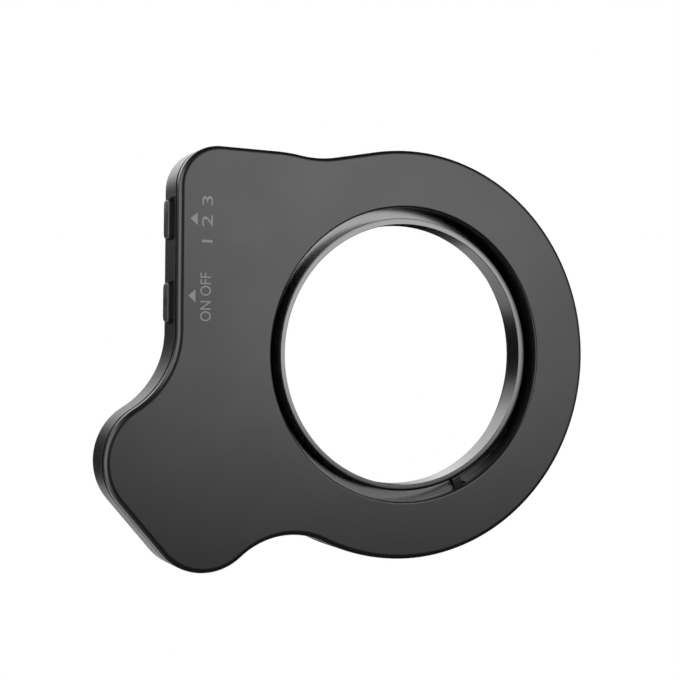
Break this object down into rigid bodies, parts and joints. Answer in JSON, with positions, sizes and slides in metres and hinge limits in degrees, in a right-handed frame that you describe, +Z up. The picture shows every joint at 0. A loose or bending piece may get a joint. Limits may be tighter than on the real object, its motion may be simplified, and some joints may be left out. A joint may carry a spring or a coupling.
{
  "type": "phone ring light",
  "caption": "Flat clip-on ring light for a phone lens: black case with side lobe, metal lens bore, milky lamp ring, and two push buttons.",
  "frame": {"origin": "middle of the lens ring's bore, on its axis", "axes": "+Y along the bore from the flat rear cover to the lamp side, +Z up, +X away from the buttons"},
  "size_m": [0.103, 0.01, 0.0826],
  "materials": {
    "cover_metal": "satin black",
    "case_plastic": "fine-grained black",
    "ring_metal": "satin dark grey, turned",
    "catch_metal": "satin black",
    "spring_steel": "bright spring steel",
    "diffuser": "milky white, lets light through",
    "white_plastic": "white",
    "board": "green solder mask",
    "lamp_cool": "pale phosphor",
    "lamp_warm": "amber phosphor",
    "screw_steel": "plain",
    "chip": "moulded black",
    "port_steel": "stamped",
    "light_pipe": "clear",
    "cell_foil": "dull foil",
    "foam": "open foam tape",
    "connector": "natural nylon",
    "wire": "soft insulation",
    "button_plastic": "satin black"
  },
  "bodies": {
    "case": {"rear_cover": "cover_metal", "front_housing": "case_plastic", "lens_ring": "ring_metal", "catch_spring": "spring_steel", "diffuser_ring": "diffuser", "reflector_ring": "white_plastic", "led_board": "board", "cool_leds": "lamp_cool", "warm_leds": "lamp_warm", "led_board_screws": "screw_steel", "case_screws": "screw_steel", "main_board": "board", "main_board_screws": "screw_steel", "control_chips": "chip", "power_inductor": "chip", "usb_shell": "port_steel", "usb_tongue": "chip", "charge_led": "lamp_cool", "charge_light_pipe": "light_pipe", "battery": "cell_foil", "battery_pad": "foam", "battery_socket": "connector", "battery_plug": "connector", "battery_wires": "wire", "led_wires": "wire", "power_switch": "chip", "mode_switch": "chip"},
    "catch": {"lens_catch": "catch_metal"},
    "power_button": {"power_button": "button_plastic", "power_switch_plunger": "connector"},
    "mode_button": {"mode_button": "button_plastic", "mode_switch_plunger": "connector"}
  },
  "joints": [
    {"name": "power_press", "type": "slide", "parent": "case", "child": "power_button", "axis": [1, 0, 0], "range_m": [0, 0.0003], "stiffness_N_per_m": 4000, "springref_m": -0.0002},
    {"name": "mode_press", "type": "slide", "parent": "case", "child": "mode_button", "axis": [1, 0, 0], "range_m": [0, 0.0003], "stiffness_N_per_m": 4000, "springref_m": -0.0002},
    {"name": "catch_slide", "type": "slide", "parent": "case", "child": "catch", "axis": [0.4179, 0, -0.9085], "range_m": [0, 0.0006], "stiffness_N_per_m": 2000, "springref_m": -0.0002, "deforming": ["catch_spring"]}
  ]
}
